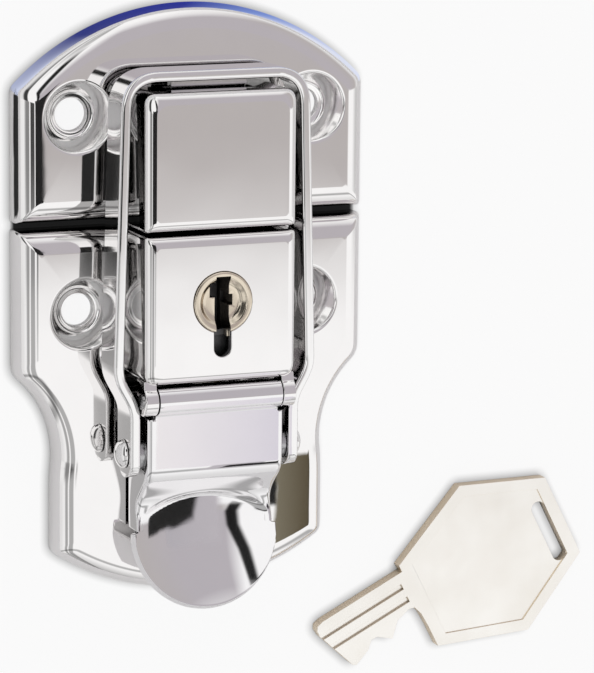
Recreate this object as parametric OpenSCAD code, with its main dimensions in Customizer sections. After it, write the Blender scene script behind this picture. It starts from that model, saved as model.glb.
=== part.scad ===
// Lockable draw latch for a case: a catch plate for the lid, a base plate for the body,
// a hinged lever with a spoon tab, a bail that draws the two plates together, a key lock and its key.
// Millimetres. X runs across the latch, Y along it towards the lid, Z out from the case.
// The origin is on the case's surface, at the middle of the base plate's seam edge.

/* [Plates] */
// Width of both plates across the shoulders
plate_width = 56; // [56:0.5:60]
// Width of the base plate's narrow tail
tail_width = 44; // [42:0.5:47]
// Height of the plates' flat crown above the case
plate_height = 5; // [4.6:0.1:5.4]
// Thickness of the pressed sheet
sheet = 1.2; // [1:0.05:1.4]
// Outside radius of the bend round the plates' rims
rim_radius = 3.5; // [2.5:0.1:3.6]
// Gap between the two plates on a shut case
seam_gap = 1; // [0.6:0.1:1.5]

/* [Catch plate outline] */
// Length of the straight sides
catch_side = 20.2; // [18:0.1:23]
// Rise of the arched top above the straight sides
catch_rise = 12; // [9:0.5:14]

/* [Base plate outline] */
// Length of the straight sides above the shoulders
base_side = 22.3; // [20:0.1:24]
// Radius of the hollow between the shoulder and the tail
waist_radius = 16; // [14:0.5:18]
// Distance from the seam to the tail's corners
tail_end = 50.1; // [48:0.1:53]
// Drop of the curved lower edge below the tail's corners
tail_drop = 7.1; // [5:0.1:8]

/* [Screw holes] */
// Diameter of the screw holes
screw_hole = 5; // [4:0.1:5.5]
// Diameter of a dimple at the crown
dimple_width = 11.2; // [10.4:0.1:11.2]
// Diameter of a dimple's flat floor
dimple_floor = 6.8; // [6.4:0.1:7.4]
// Distance of the catch plate's holes from its sides
catch_hole_margin = 9.3; // [9.3:0.1:10]
// Height of the catch plate's holes above its lower edge
catch_hole_y = 16; // [14:0.1:17]
// Distance of the base plate's holes from its sides
base_hole_margin = 10.3; // [9.4:0.1:10.4]
// Distance of the base plate's holes below the seam
base_hole_y = 12.8; // [11:0.1:14]

/* [Boxes] */
// Width of the raised box
box_width = 24; // [23.6:0.1:24.2]
// Height of the box front above the case
box_height = 16.5; // [16.2:0.1:17]
// Radius of the box's pressed edges
box_edge = 2; // [1.6:0.1:2.4]
// Length of the catch box
catch_box_length = 20.5; // [19:0.1:21.5]
// Length of the lock case
lock_case_length = 22.3; // [22:0.1:23]

/* [Lever] */
// Distance of the lever's sides inside the box's sides
lever_margin = 1; // [0.9:0.05:1.2]
// Outside diameter of the rolled hinge barrel
barrel_width = 4.4; // [4.2:0.05:4.5]
// Diameter of the hinge pin
hinge_pin_width = 2.2; // [1.8:0.1:2.4]
// Distance of the lever's flat front below the box front
lever_set_back = 2.3; // [2.1:0.05:2.5]
// Length of the lever's flat front below the hinge
lever_flat = 10.6; // [10:0.1:11]
// Radius of the spoon seen from the front
spoon_radius = 11.5; // [11:0.1:12]
// Radius of the spoon's hollow
spoon_hollow = 26; // [24:0.5:30]

/* [Bail] */
// Thickness of the bail's strip
bail_strip = 1.6; // [1.3:0.05:1.8]
// Depth of the bail's strip, on edge
bail_depth = 6.5; // [6:0.1:6.8]
// Radius of the bail's upper corners, to the middle of the strip
bail_corner = 5; // [4:0.1:6]
// Clear space between the catch box and the bail's cross bar
bail_reach = 1.4; // [1.3:0.05:1.8]
// Outward lean of the bail's arms, in degrees
bail_splay = 1.85; // [1.5:0.05:2]
// Diameter of the bail rivets' shanks
rivet_width = 3; // [2.6:0.1:3.2]

/* [Lock] */
// Diameter of the lock plug
plug_width = 9.2; // [8.8:0.1:9.4]
// Distance of the lock plug below the seam
plug_y = 10; // [9.8:0.1:10.4]
// Width of the keyhole slot below the plug
slot_width = 2.7; // [2.5:0.1:3]
// Length of the keyhole slot below the plug
slot_length = 3.7; // [3.2:0.1:4]
// Radius of the drive cam's pin circle
cam_throw = 4.1; // [4:0.05:4.2]

/* [Key] */
// Thickness of the key
key_thickness = 2; // [1.6:0.1:2.1]
// Length of the key's blade
blade_length = 16.7; // [14:0.1:18]
// Width of the key's bow
bow_width = 27.9; // [26:0.1:29]
// Turn of the key where it lies beside the latch, in degrees
key_turn = 27; // [22:1:30]

/* [Fits] */
// Radial clearance of a turning fit
running_fit = 0.06; // [0.04:0.01:0.09]
// Clearance between faces that slide past each other
sliding_gap = 0.3; // [0.25:0.05:0.35]

/* [Hidden] */
$fn = 72;

nickel = [0.82, 0.82, 0.84];
bright_nickel = [0.88, 0.88, 0.9];
steel = [0.6, 0.61, 0.63];
brass = [0.78, 0.68, 0.45];
key_nickel = [0.86, 0.82, 0.74];

// Flats along a pressed bend
bend_steps = 10;
// Room added so that a cut runs past the face it opens
past = 1;
// Length that is longer than any part of the latch
far = 120;
// Clearance between the faces of the lock's stacked parts
stack_gap = 0.1;

// Catch plate
catch_low = seam_gap;
catch_corner = catch_low + catch_side;
catch_arc = arc_radius(plate_width, catch_rise);
catch_arc_y = catch_corner + catch_rise - catch_arc;

// Base plate
tail_arc = arc_radius(tail_width, tail_drop);
tail_arc_y = tail_arc - tail_end - tail_drop;
// The hollow's circle runs a little past the tail's side, and the rim's bend ends in a faint crease
waist_past = 0.3;
crease = 0.05;
waist_x = tail_width / 2 + waist_radius - waist_past;
waist_y = -base_side - sqrt(pow(waist_radius, 2) - pow(waist_x - plate_width / 2, 2));

// Boxes
box_in = box_width / 2 - sheet;
box_ceiling = box_height - sheet;
seam_edge = 1;

// Lever hinge
barrel_r = barrel_width / 2;
hinge_y = -(lock_case_length + barrel_r + sliding_gap);
hinge_z = box_height - barrel_r;
lever_width = box_width - 2 * lever_margin;
lever_front = box_height - lever_set_back;
knuckle_width = 2;
knuckle_in = box_width / 2 - knuckle_width;
barrel_gap = 0.2;
lever_under = lever_front - sheet;
lever_in = lever_width / 2 - sheet;
// Bend radius, middle of the sheet, and slope of the step from the flat front to the spoon
step_bend = 2.4;
step_slope = 48;
step_length = 8;
// Space between the lever and the base plate's crown
lever_clear = 0.7;
flange_foot = plate_height + lever_clear;
// Reach of the side flanges beyond the flat front, and of the step to the arched fold
flange_reach = 10.6;
step_reach = 4.5;
flange_end = hinge_y - lever_flat - flange_reach;
spoon_y = flange_end - sheet / 3;
spoon_low = flange_foot + sheet;
// Share of the spoon's radius by which its lowest point lies towards the hinge
spoon_lean = 0.35;
spoon_mid_y = spoon_y + spoon_radius * spoon_lean;
// The arched fold between the step and the spoon
hood_arc = 20.6;
hood_top = hinge_y - lever_flat - step_reach;

// Bail
// Place of the bail's pivot below the hinge and behind the lever's flat front
pivot_drop = 8.55;
pivot_depth = 3.65;
bail_mid = lever_front - pivot_depth;
bail_low = bail_mid - bail_depth / 2;
bar_y = catch_low + catch_box_length + bail_reach + bail_strip / 2;
pivot_y = hinge_y - pivot_drop;
pivot_z = bail_mid;
washer_space = 0.9;
// Radius of the rounded ends of the arms, a little over half the strip's depth
eye_past = 0.35;
bail_eye = bail_depth / 2 + eye_past;
// Space between the box and the bail's arms at the top
arm_space = 1.3;
arm_top_x = box_width / 2 + arm_space + bail_strip / 2;
arm_low_x = lever_width / 2 + washer_space + bail_strip / 2;
arm_top_y = bar_y - bail_corner - past;
// The joggle that brings an arm in to the lever's side
joggle_rise = 5.4;
joggle_from = hinge_y + joggle_rise;
joggle_to = pivot_y + joggle_rise;
joggle_top_x = arm_top_x + (arm_top_y - joggle_from) * tan(bail_splay);
tongue_width = 12;
tongue_thickness = 1.6;
tongue_z = bail_low + 1.3;
tongue_length = bail_reach + sheet - stack_gap;
tongue_rise = 1.8;

// Lock works, from the front to the back, in the space between the box and the heads of the frame's rivets
frame_sheet = 1;
frame_rivet_r = 1;
frame_rivet_head = 0.8;
works_depth = box_ceiling - plate_height - frame_sheet - frame_rivet_head;
flange_thickness = 0.15 * works_depth;
cam_thickness = 0.12 * works_depth;
bolt_thickness = 0.19 * works_depth;
plug_r = plug_width / 2;
flange_r = plug_r + frame_sheet;
flange_top = box_ceiling - stack_gap;
flange_low = flange_top - flange_thickness;
washer_thickness = 0.4;
bridge_top = flange_low - stack_gap - washer_thickness;
bridge_low = bridge_top - frame_sheet;
cam_top = bridge_low - 2 * stack_gap;
cam_low = cam_top - cam_thickness;
cam_pin_r = 0.8;
cam_r = cam_throw + 1.5 * cam_pin_r;
bolt_top = cam_low - sliding_gap;
bolt_low = bolt_top - bolt_thickness;
bolt_travel = 2 * cam_throw * sin(45);
bolt_half = 6.2;
bolt_tip_half = 3;
// Half the width of the windows that the bolt's tip slides through
window_half = bolt_tip_half + sliding_gap;
bolt_proud = 0.5;
bolt_tip_y = -(lock_case_length + bolt_proud);
// How far the bolt's tail and the keeper's window lie past the plug and the drawn bolt's tip
bolt_tail = 6;
keeper_lap = 1.3;
guide_top = bolt_low - stack_gap;
frame_half = box_in - 2 * stack_gap;
frame_end_gap = 0.5;
frame_top_y = -(sheet + frame_end_gap);
frame_low_y = -(lock_case_length - sheet - frame_end_gap);
foot_width = 4;
keeper_y = bolt_tip_y - bolt_travel + keeper_lap;
keeper_thickness = 1;
keyway = key_thickness + sliding_gap;
// Metal left at the closed end of the keyway
keyway_end = 0.6;
// How far the plug stands out of the lock case, and the depth of its dished face
plug_proud = 0.3;
plug_dish = 0.8;

// Key, along its own axis from the bow's middle, blade towards minus X
key_x = 52.1;
key_y = -57.8;
bow_root = -14.3;
bow_end = 13.9;
blade_back = 6.6;
blade_tip = bow_root - blade_length;

// Radius of an arc from its chord and its rise
function arc_radius(chord, rise) = (chord * chord / 4 + rise * rise) / (2 * rise);

// What is cut from a 2D corner at the origin, with the metal towards plus X and minus Y, to round it
module corner_waste(radius) {
    difference() {
        translate([-past, -radius])
            square(radius + past);
        translate([radius, -radius])
            circle(radius);
    }
}

// A 2D block with its corner at (0, height) rounded
module rounded_corner(depth, height, radius) {
    difference() {
        square([depth, height]);
        translate([0, height])
            corner_waste(radius);
    }
}

// A 2D block, centred on X, with both upper corners rounded
module rounded_arch(width, height, radius) {
    translate([-width / 2, 0])
        rounded_corner(width / 2, height, radius);
    mirror([1, 0])
        translate([-width / 2, 0])
            rounded_corner(width / 2, height, radius);
}

// Half the section of a disc with its upper rim rounded, from the axis out
module rounded_rim(radius, height, bend) {
    difference() {
        square([radius, height]);
        translate([radius, height])
            mirror([1, 0])
                corner_waste(bend);
    }
}

// Half the section of a cutter that leaves a rounded rim on the metal outside it
module flare(radius, height, bend) {
    bend_z = height - bend + crease;
    difference() {
        translate([0, -past])
            square([radius + bend, height + 2 * past]);
        translate([radius + bend, bend_z])
            circle(bend);
        translate([radius, -2 * past])
            square([bend + past, bend_z + 2 * past]);
    }
}

// Points along an arc
function arc_points(centre, radius, from, to) = [
    for (i = [0:bend_steps])
        let (angle = from + (to - from) * i / bend_steps)
            centre + radius * [cos(angle), sin(angle)]
];

// A list of points in the other order
function reversed(points) = [for (i = [len(points) - 1:-1:0]) points[i]];

// A 2D shape in (Y, Z) carried across the latch, from x to x + width
module across(x, width) {
    translate([x, 0, 0])
        rotate([90, 0, 90])
            linear_extrude(width)
                children();
}

// Both mirrored halves of a shape
module both_sides() {
    children();
    mirror([1, 0, 0])
        children();
}

// A rod along X
module rod(x, length, radius, y, z) {
    translate([x, y, z])
        rotate([0, 90, 0])
            cylinder(h = length, r = radius);
}

// The solid under the catch plate's crown, its outline moved in by inset
module catch_crown(inset, drop) {
    height = plate_height - inset + drop;
    bend = rim_radius - inset;
    translate([0, 0, -drop])
        intersection() {
            translate([0, far, 0])
                rotate([90, 0, 0])
                    linear_extrude(2 * far)
                        rounded_arch(plate_width - 2 * inset, height, bend);
            across(-far / 2, far)
                translate([catch_low + inset, 0])
                    rounded_corner(far, height, bend);
            translate([0, catch_arc_y, 0])
                rotate_extrude()
                    rounded_rim(catch_arc - inset, height, bend);
        }
}

// The shield-shaped solid under the base plate's crown, its outline moved in by inset
module base_crown(inset, drop) {
    height = plate_height - inset + drop;
    bend = rim_radius - inset;
    tail_cut = 12;
    translate([0, 0, -drop])
        intersection() {
            difference() {
                translate([0, past, 0])
                    rotate([90, 0, 0])
                        linear_extrude(far)
                            rounded_arch(plate_width - 2 * inset, height, bend);
                both_sides() {
                    translate([waist_x, waist_y, 0])
                        rotate_extrude()
                            flare(waist_radius + inset, height, bend);
                    translate([tail_width / 2 - inset + tail_cut, waist_y + 1, 0])
                        rotate([90, 0, 0])
                            linear_extrude(far)
                                mirror([1, 0])
                                    flare(tail_cut, height, bend);
                }
            }
            across(-far / 2, far)
                translate([-inset, 0])
                    mirror([1, 0])
                        rounded_corner(far, height, bend);
            translate([0, tail_arc_y, 0])
                rotate_extrude()
                    rounded_rim(tail_arc - inset, height, bend);
        }
}

// The metal pressed down round a screw hole, to the case's surface
module dimple_metal() {
    wall_low = 0.8;
    wall_top = 0.6;
    cylinder(h = plate_height - sheet, d1 = dimple_floor + 2 * wall_low, d2 = dimple_width + 2 * wall_top);
    cylinder(h = plate_height - sheet / 2, d = dimple_width);
}

// The hollow of a dimple and its screw hole
module dimple_hollow() {
    translate([0, 0, sheet])
        cylinder(h = plate_height - sheet, d1 = dimple_floor, d2 = dimple_width);
    translate([0, 0, plate_height])
        cylinder(h = past, d = dimple_width);
    translate([0, 0, -past])
        cylinder(h = plate_height, d = screw_hole);
}

// A pressed plate: a crown shell with two dimpled screw holes
module pressed_plate(hole_x, hole_y) {
    difference() {
        union() {
            children();
            both_sides()
                translate([hole_x, hole_y, 0])
                    dimple_metal();
        }
        both_sides()
            translate([hole_x, hole_y, 0])
                dimple_hollow();
    }
}

// A box over the crown from the seam to its far end, as a solid moved in by inset
module box_solid(length, inset, drop) {
    top = box_height - inset;
    edge = box_edge - inset * 0.7;
    low = plate_height - drop;
    intersection() {
        translate([0, length + far, 0])
            rotate([90, 0, 0])
                linear_extrude(2 * far)
                    rounded_arch(box_width - 2 * inset, top, edge);
        across(-far / 2, far)
            translate([inset, 0])
                rounded_corner(far, top, seam_edge);
        across(-far / 2, far)
            translate([length - inset, 0])
                mirror([1, 0])
                    rounded_corner(far, top, edge);
        translate([0, 0, low])
            linear_extrude(far)
                rounded_arch(box_width - 2 * inset, length - inset, edge);
    }
}

// A pressed box shell, open towards the case
module box_shell(length) {
    difference() {
        box_solid(length, 0, 0);
        box_solid(length, sheet, past);
    }
}

module catch_plate() {
    color(nickel)
        pressed_plate(plate_width / 2 - catch_hole_margin, catch_low + catch_hole_y)
            difference() {
                catch_crown(0, 0);
                catch_crown(sheet, past);
            }
}

module catch_box() {
    color(bright_nickel)
        difference() {
            translate([0, catch_low, 0])
                box_shell(catch_box_length);
            translate([0, catch_low + catch_box_length, tongue_z - sliding_gap])
                linear_extrude(tongue_thickness + tongue_rise + 2 * sliding_gap)
                    square([tongue_width + 4 * sliding_gap, 4 * sheet], center = true);
        }
}

module base_plate() {
    color(nickel)
        difference() {
            pressed_plate(plate_width / 2 - base_hole_margin, -base_hole_y)
                difference() {
                    base_crown(0, 0);
                    base_crown(sheet, past);
                }
            frame_rivet_places()
                cylinder(h = plate_height + past, r = frame_rivet_r);
        }
}

module lock_case() {
    color(bright_nickel)
        difference() {
            union() {
                mirror([0, 1, 0])
                    box_shell(lock_case_length);
                both_sides()
                    knuckle();
            }
            translate([0, -plug_y, box_ceiling - past])
                cylinder(h = sheet + 2 * past, r = plug_r + running_fit);
            translate([-slot_width / 2, -plug_y - plug_r - slot_length + slot_width / 2, box_ceiling - past])
                cube([slot_width, slot_length, sheet + 2 * past]);
            translate([0, -plug_y - plug_r - slot_length + slot_width / 2, box_ceiling - past])
                cylinder(h = sheet + 2 * past, d = slot_width);
            translate([-window_half, -lock_case_length - past, bolt_low - sliding_gap])
                cube([2 * window_half, sheet + 2 * past, bolt_top - bolt_low + 2 * sliding_gap]);
            rod(-box_width, 2 * box_width, hinge_pin_width / 2, hinge_y, hinge_z);
        }
}

// A curled ear of the lock case that holds one end of the hinge pin
module knuckle() {
    rod(knuckle_in, knuckle_width, barrel_r, hinge_y, hinge_z);
    translate([knuckle_in, hinge_y, hinge_z - barrel_r])
        cube([knuckle_width, -hinge_y - lock_case_length + sheet / 2, 2 * barrel_r - box_edge]);
}

module frame_rivet_places() {
    for (x = [-1, 1])
        for (y = [frame_top_y - foot_width, frame_low_y + foot_width])
            translate([x * (frame_half - frame_sheet - foot_width / 2), y, 0])
                children();
}

module lock_frame() {
    frame_length = frame_top_y - frame_low_y;
    color(steel)
        difference() {
            union() {
                translate([-frame_half, frame_low_y, bridge_low])
                    cube([2 * frame_half, frame_length, bridge_top - bridge_low]);
                both_sides() {
                    translate([frame_half - frame_sheet, frame_low_y, plate_height])
                        cube([frame_sheet, frame_length, bridge_top - plate_height]);
                    translate([frame_half - frame_sheet - foot_width, frame_low_y, plate_height])
                        cube([foot_width + frame_sheet / 2, frame_length, frame_sheet]);
                }
            }
            translate([0, -plug_y, bridge_low - past])
                cylinder(h = frame_sheet + 2 * past, r = plug_r + running_fit);
            frame_rivet_places()
                cylinder(h = plate_height + frame_sheet + past, r = frame_rivet_r);
        }
}

module frame_rivets() {
    head_r = frame_rivet_r + frame_rivet_head;
    color(steel)
        frame_rivet_places() {
            translate([0, 0, plate_height - sheet - frame_rivet_head])
                cylinder(h = frame_rivet_head, r = head_r);
            translate([0, 0, plate_height - sheet])
                cylinder(h = sheet + frame_sheet, r = frame_rivet_r);
            translate([0, 0, plate_height + frame_sheet])
                cylinder(h = frame_rivet_head, r = head_r);
        }
}

module bolt_guide() {
    rail_in = bolt_half + sliding_gap / 2;
    color(steel)
        union() {
            translate([-frame_half + frame_sheet, frame_low_y, guide_top - frame_sheet])
                cube([2 * (frame_half - frame_sheet), frame_top_y - frame_low_y, frame_sheet]);
            both_sides()
                translate([rail_in, frame_low_y, guide_top - frame_sheet / 2])
                    cube([frame_sheet, frame_top_y - frame_low_y, bolt_top - guide_top + frame_sheet / 2]);
        }
}

// The keyway, as cut through the plug and the cam at rest
module keyway_cut() {
    translate([-keyway / 2, -plug_y - plug_r - past, cam_low - past])
        cube([keyway, 2 * plug_r - keyway_end + past, far]);
}

module lock_plug() {
    color(brass)
        difference() {
            translate([0, -plug_y, 0]) {
                translate([0, 0, cam_top])
                    cylinder(h = box_height + plug_proud - cam_top, r = plug_r);
                translate([0, 0, flange_low])
                    cylinder(h = flange_top - flange_low, r = flange_r);
            }
            translate([0, -plug_y, box_height + plug_proud - plug_dish])
                cylinder(h = past, d1 = plug_width - 3 * plug_dish, d2 = plug_width - 3 * plug_dish + past);
            keyway_cut();
        }
}

module plug_spring_washer() {
    color(steel)
        translate([0, -plug_y, bridge_top])
            difference() {
                cylinder(h = washer_thickness, r = flange_r - stack_gap);
                translate([0, 0, -past])
                    cylinder(h = washer_thickness + 2 * past, r = plug_r + running_fit);
            }
}

module drive_cam() {
    color(steel)
        difference() {
            translate([0, -plug_y, 0]) {
                translate([0, 0, cam_low])
                    cylinder(h = cam_top - cam_low, r = cam_r);
                rotate(45)
                    translate([cam_throw, 0, bolt_low])
                        cylinder(h = cam_top - bolt_low, r = cam_pin_r);
            }
            keyway_cut();
        }
}

module lock_bolt() {
    slot_half = cam_pin_r + sliding_gap;
    pin_y = -plug_y + cam_throw * sin(45);
    slot_from = cam_throw * cos(45) - cam_pin_r - sliding_gap;
    color(steel)
        difference() {
            translate([0, 0, bolt_low])
                linear_extrude(bolt_top - bolt_low) {
                    translate([-bolt_half, frame_low_y + bolt_travel + sliding_gap])
                        square([2 * bolt_half, -plug_y + bolt_tail - frame_low_y - bolt_travel]);
                    translate([-bolt_tip_half, bolt_tip_y])
                        square([2 * bolt_tip_half, -plug_y - bolt_tip_y]);
                }
            translate([slot_from, pin_y - slot_half, bolt_low - past])
                cube([cam_throw + cam_pin_r + sliding_gap - slot_from, 2 * slot_half, 4 * past]);
        }
}

// One face of the lever's sheet in (Y, Z), seen from the side: the flat front, the bend and the step
function lever_face(bend_centre, radius) =
    let (bend = arc_points(bend_centre, radius, 90, 90 + step_slope))
        concat(
            [[hinge_y, bend_centre[1] + radius]],
            bend,
            [bend[bend_steps] - step_length * [cos(step_slope), sin(step_slope)]]
        );

module lever_sheet() {
    bend_centre = [hinge_y - lever_flat + step_bend / 2, lever_front - sheet / 2 - step_bend];
    across(-lever_width / 2, lever_width)
        polygon(concat(
            lever_face(bend_centre, step_bend + sheet / 2),
            reversed(lever_face(bend_centre, step_bend - sheet / 2))
        ));
}

// The outline of a side flange in (Y, Z)
module flange_outline() {
    end_height = 3;
    hood_height = 4;
    foot_from = pivot_y - 5;
    // Metal round the bail's pivot and under the hinge barrel
    eye_below = pivot_y - 3.4;
    eye_above = pivot_y + 3.8;
    eye_low = pivot_z - 2.8;
    neck_low = hinge_z - barrel_r - barrel_gap;
    polygon([
        [hinge_y, lever_front],
        [hinge_y - lever_flat, lever_front],
        [hood_top, flange_foot + hood_height],
        [flange_end, flange_foot + end_height],
        [flange_end, flange_foot],
        [foot_from, flange_foot],
        [eye_below, eye_low],
        [eye_above, eye_low],
        [hinge_y - barrel_r - 2 * barrel_gap, neck_low],
        [hinge_y, neck_low]
    ]);
}

// The spoon's outline seen from the front
module spoon_outline() {
    top = hood_top - sheet;
    intersection() {
        union() {
            translate([0, spoon_y])
                circle(spoon_radius);
            translate([-lever_width / 2, spoon_y])
                square([lever_width, top - spoon_y]);
        }
        translate([-far / 2, top - far])
            square(far);
    }
}

// The ball that hollows the spoon
module spoon_ball(extra) {
    translate([0, spoon_mid_y, spoon_low + spoon_hollow])
        sphere(spoon_hollow + extra);
}

module lever() {
    color(nickel)
        difference() {
            union() {
                rod(-knuckle_in + barrel_gap, 2 * (knuckle_in - barrel_gap), barrel_r, hinge_y, hinge_z);
                difference() {
                    union() {
                        lever_sheet();
                        both_sides()
                            across(lever_in, sheet)
                                flange_outline();
                        intersection() {
                            linear_extrude(hinge_z)
                                spoon_outline();
                            difference() {
                                spoon_ball(sheet);
                                spoon_ball(0);
                            }
                        }
                    }
                    intersection() {
                        spoon_ball(0);
                        translate([0, hood_top - hood_arc, 0])
                            cylinder(h = far, r = hood_arc);
                    }
                    both_sides()
                        rod(knuckle_in - barrel_gap, box_width, barrel_r + sliding_gap, hinge_y, hinge_z);
                }
            }
            rod(-box_width, 2 * box_width, hinge_pin_width / 2 + running_fit, hinge_y, hinge_z);
            rod(-box_width, 2 * box_width, rivet_width / 2, pivot_y, pivot_z);
        }
}

module lever_hinge_pin() {
    pin_proud = 0.2;
    color(steel)
        rod(-box_width / 2 - pin_proud, box_width + 2 * pin_proud, hinge_pin_width / 2, hinge_y, hinge_z);
}

module bolt_keeper() {
    wall = 1.2;
    foot = 4;
    half = window_half + wall;
    keeper_low = bolt_low - sliding_gap - wall;
    color(steel)
        difference() {
            union() {
                translate([-half, keeper_y - keeper_thickness, keeper_low])
                    cube([2 * half, keeper_thickness, lever_under - keeper_low]);
                translate([-half, keeper_y - foot, lever_under - keeper_thickness])
                    cube([2 * half, foot, keeper_thickness]);
            }
            translate([-window_half, keeper_y - keeper_thickness - past, bolt_low - sliding_gap])
                cube([2 * window_half, keeper_thickness + 2 * past, bolt_top - bolt_low + 2 * sliding_gap]);
        }
}

// One edge of a bail arm seen from the front, moved out by out: the splayed run and the joggle
function arm_edge(out) = concat(
    [[arm_top_x + out, arm_top_y]],
    [
        for (i = [0:bend_steps])
            let (share = i / bend_steps, ease = (1 - cos(180 * share)) / 2)
                [
                    joggle_top_x + (arm_low_x - joggle_top_x) * ease + out,
                    joggle_from + (joggle_to - joggle_from) * share
                ]
    ],
    [[arm_low_x + out, pivot_y - bail_eye - past]]
);

// The bail's strip seen from the front: the cross bar with its two corners, and the arms
module bail_outline() {
    half = bail_strip / 2;
    translate([0, arm_top_y])
        difference() {
            rounded_arch(2 * (arm_top_x + half), bar_y - arm_top_y + half, bail_corner + half);
            translate([0, -past])
                rounded_arch(2 * (arm_top_x - half), bar_y - arm_top_y - half + past, bail_corner - half);
        }
    both_sides()
        polygon(concat(arm_edge(half), reversed(arm_edge(-half))));
}

module bail() {
    color(bright_nickel)
        difference() {
            union() {
                translate([0, 0, bail_low])
                    linear_extrude(bail_depth)
                        bail_outline();
                translate([-tongue_width / 2, bar_y - bail_strip / 2 - tongue_length, tongue_z])
                    cube([tongue_width, tongue_length + bail_strip / 2, tongue_thickness]);
            }
            across(-far / 2, far)
                difference() {
                    translate([pivot_y - far, 0])
                        square([far, far]);
                    translate([pivot_y, pivot_z])
                        circle(bail_eye);
                }
            rod(-far / 2, far, rivet_width / 2 + running_fit, pivot_y, pivot_z);
        }
}

// The rivet that pins one arm of the bail to the lever, on the side of plus X
module bail_rivet() {
    shank_r = rivet_width / 2;
    head_r = shank_r + 0.7;
    inner_head = 1;
    dome_height = 1.3;
    dome_ball = arc_radius(2 * head_r, dome_height);
    dome_from = inner_head + arm_low_x + bail_strip / 2 + stack_gap - lever_in;
    translate([lever_in - inner_head, pivot_y, pivot_z])
        rotate([0, 90, 0])
            rotate_extrude() {
                square([head_r, inner_head]);
                square([shank_r, dome_from + dome_height / 2]);
                intersection() {
                    translate([0, dome_from + dome_height - dome_ball])
                        circle(dome_ball);
                    translate([0, dome_from])
                        square(2 * dome_ball);
                }
            }
}

module bail_rivet_left() {
    color(nickel)
        mirror([1, 0, 0])
            bail_rivet();
}

module bail_rivet_right() {
    color(nickel)
        bail_rivet();
}

// The washer between one arm of the bail and the lever, on the side of plus X
module bail_washer() {
    rim = 1;
    difference() {
        rod(lever_width / 2, washer_space - stack_gap, rivet_width / 2 + rim, pivot_y, pivot_z);
        rod(0, box_width, rivet_width / 2 + running_fit, pivot_y, pivot_z);
    }
}

module bail_washer_left() {
    color(steel)
        mirror([1, 0, 0])
            bail_washer();
}

module bail_washer_right() {
    color(steel)
        bail_washer();
}

// The key's outline along its own axis
module bow_outline(inset) {
    shrink = 1 - 2 * inset / bow_width;
    end_half = bow_width * 0.26;
    root_half = bow_width * 0.278;
    widest = 0.4;
    scale(shrink)
        polygon([
            [bow_end, end_half], [widest, bow_width / 2], [bow_root, root_half],
            [bow_root, -root_half], [widest, -bow_width / 2], [bow_end, -end_half]
        ]);
}

// The blade with its cut bit, as shares of the blade's length and of its back's height
module blade_outline() {
    tip = [[0.09, 1], [0.025, 0.96], [0, 0.85], [0.006, 0.68]];
    low_bit = [[0.165, -0.38], [0.2, -0.44], [0.365, -0.27]];
    high_bit = [[0.437, -0.09], [0.5, -0.1], [0.629, -0.36], [0.749, -0.03]];
    shoulder = [[0.9, 0.07], [0.96, 0.02], [0.99, -0.2], [1, -0.6]];
    cuts = concat(tip, low_bit, high_bit, shoulder);
    polygon(concat(
        [[bow_root + past, blade_back]],
        [for (cut = cuts) [blade_tip + cut[0] * blade_length, cut[1] * blade_back]],
        [[bow_root + past, shoulder[3][1] * blade_back]]
    ));
}

module key() {
    border = 2;
    recess = 0.25;
    ring_slot = 2.4;
    ring_slot_length = 11;
    groove = 1;
    groove_floor = key_thickness - 0.5;
    groove_places = [0.66, 0.3];
    color(key_nickel)
        translate([key_x, key_y, 0])
            rotate(key_turn)
                difference() {
                    linear_extrude(key_thickness) {
                        bow_outline(0);
                        blade_outline();
                    }
                    for (z = [key_thickness - recess, -past])
                        translate([0, 0, z])
                            linear_extrude(past + (z < 0 ? recess : 0))
                                bow_outline(border);
                    for (place = groove_places)
                        translate([blade_tip - past, place * blade_back - groove / 2, groove_floor])
                            cube([blade_length, groove, past]);
                    translate([bow_end - border - ring_slot / 2, -ring_slot / 2, -past])
                        linear_extrude(key_thickness + 2 * past) {
                            square([ring_slot, ring_slot_length - ring_slot], center = true);
                            for (y = [-1, 1])
                                translate([0, y * (ring_slot_length - ring_slot) / 2])
                                    circle(d = ring_slot);
                        }
                }
}

catch_plate();
catch_box();
base_plate();
lock_case();
lock_frame();
frame_rivets();
bolt_guide();
lock_plug();
plug_spring_washer();
drive_cam();
lock_bolt();
lever();
lever_hinge_pin();
bolt_keeper();
bail();
bail_rivet_left();
bail_rivet_right();
bail_washer_left();
bail_washer_right();
key();
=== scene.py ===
# %% [markdown]
# # A lockable case latch in bright nickel
# The latch is a set of pressed sheet pieces, all plated with bright nickel, and a flat key that
# lies beside it. Mirror metal shows every facet, so the pieces in view are built here as fine,
# smooth meshes on the CAD's own sizes, and the works inside the lock keep their CAD meshes with a
# better finish.

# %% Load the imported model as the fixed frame
import math

import bmesh
import bpy
import numpy as np
from mathutils import Matrix, Vector


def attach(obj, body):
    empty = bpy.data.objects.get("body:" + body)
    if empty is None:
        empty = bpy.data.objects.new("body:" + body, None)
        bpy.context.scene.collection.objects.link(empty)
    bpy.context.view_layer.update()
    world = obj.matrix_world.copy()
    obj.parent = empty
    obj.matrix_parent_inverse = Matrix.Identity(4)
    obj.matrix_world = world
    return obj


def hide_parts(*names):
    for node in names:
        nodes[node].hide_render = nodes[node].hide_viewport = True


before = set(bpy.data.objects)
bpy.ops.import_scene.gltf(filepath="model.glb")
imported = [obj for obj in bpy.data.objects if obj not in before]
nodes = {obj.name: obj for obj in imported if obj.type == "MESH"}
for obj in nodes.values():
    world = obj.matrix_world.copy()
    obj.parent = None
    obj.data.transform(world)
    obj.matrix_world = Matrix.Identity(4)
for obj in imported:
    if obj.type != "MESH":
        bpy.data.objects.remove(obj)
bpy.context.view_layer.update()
scene = bpy.context.scene
MM = 0.001

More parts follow.
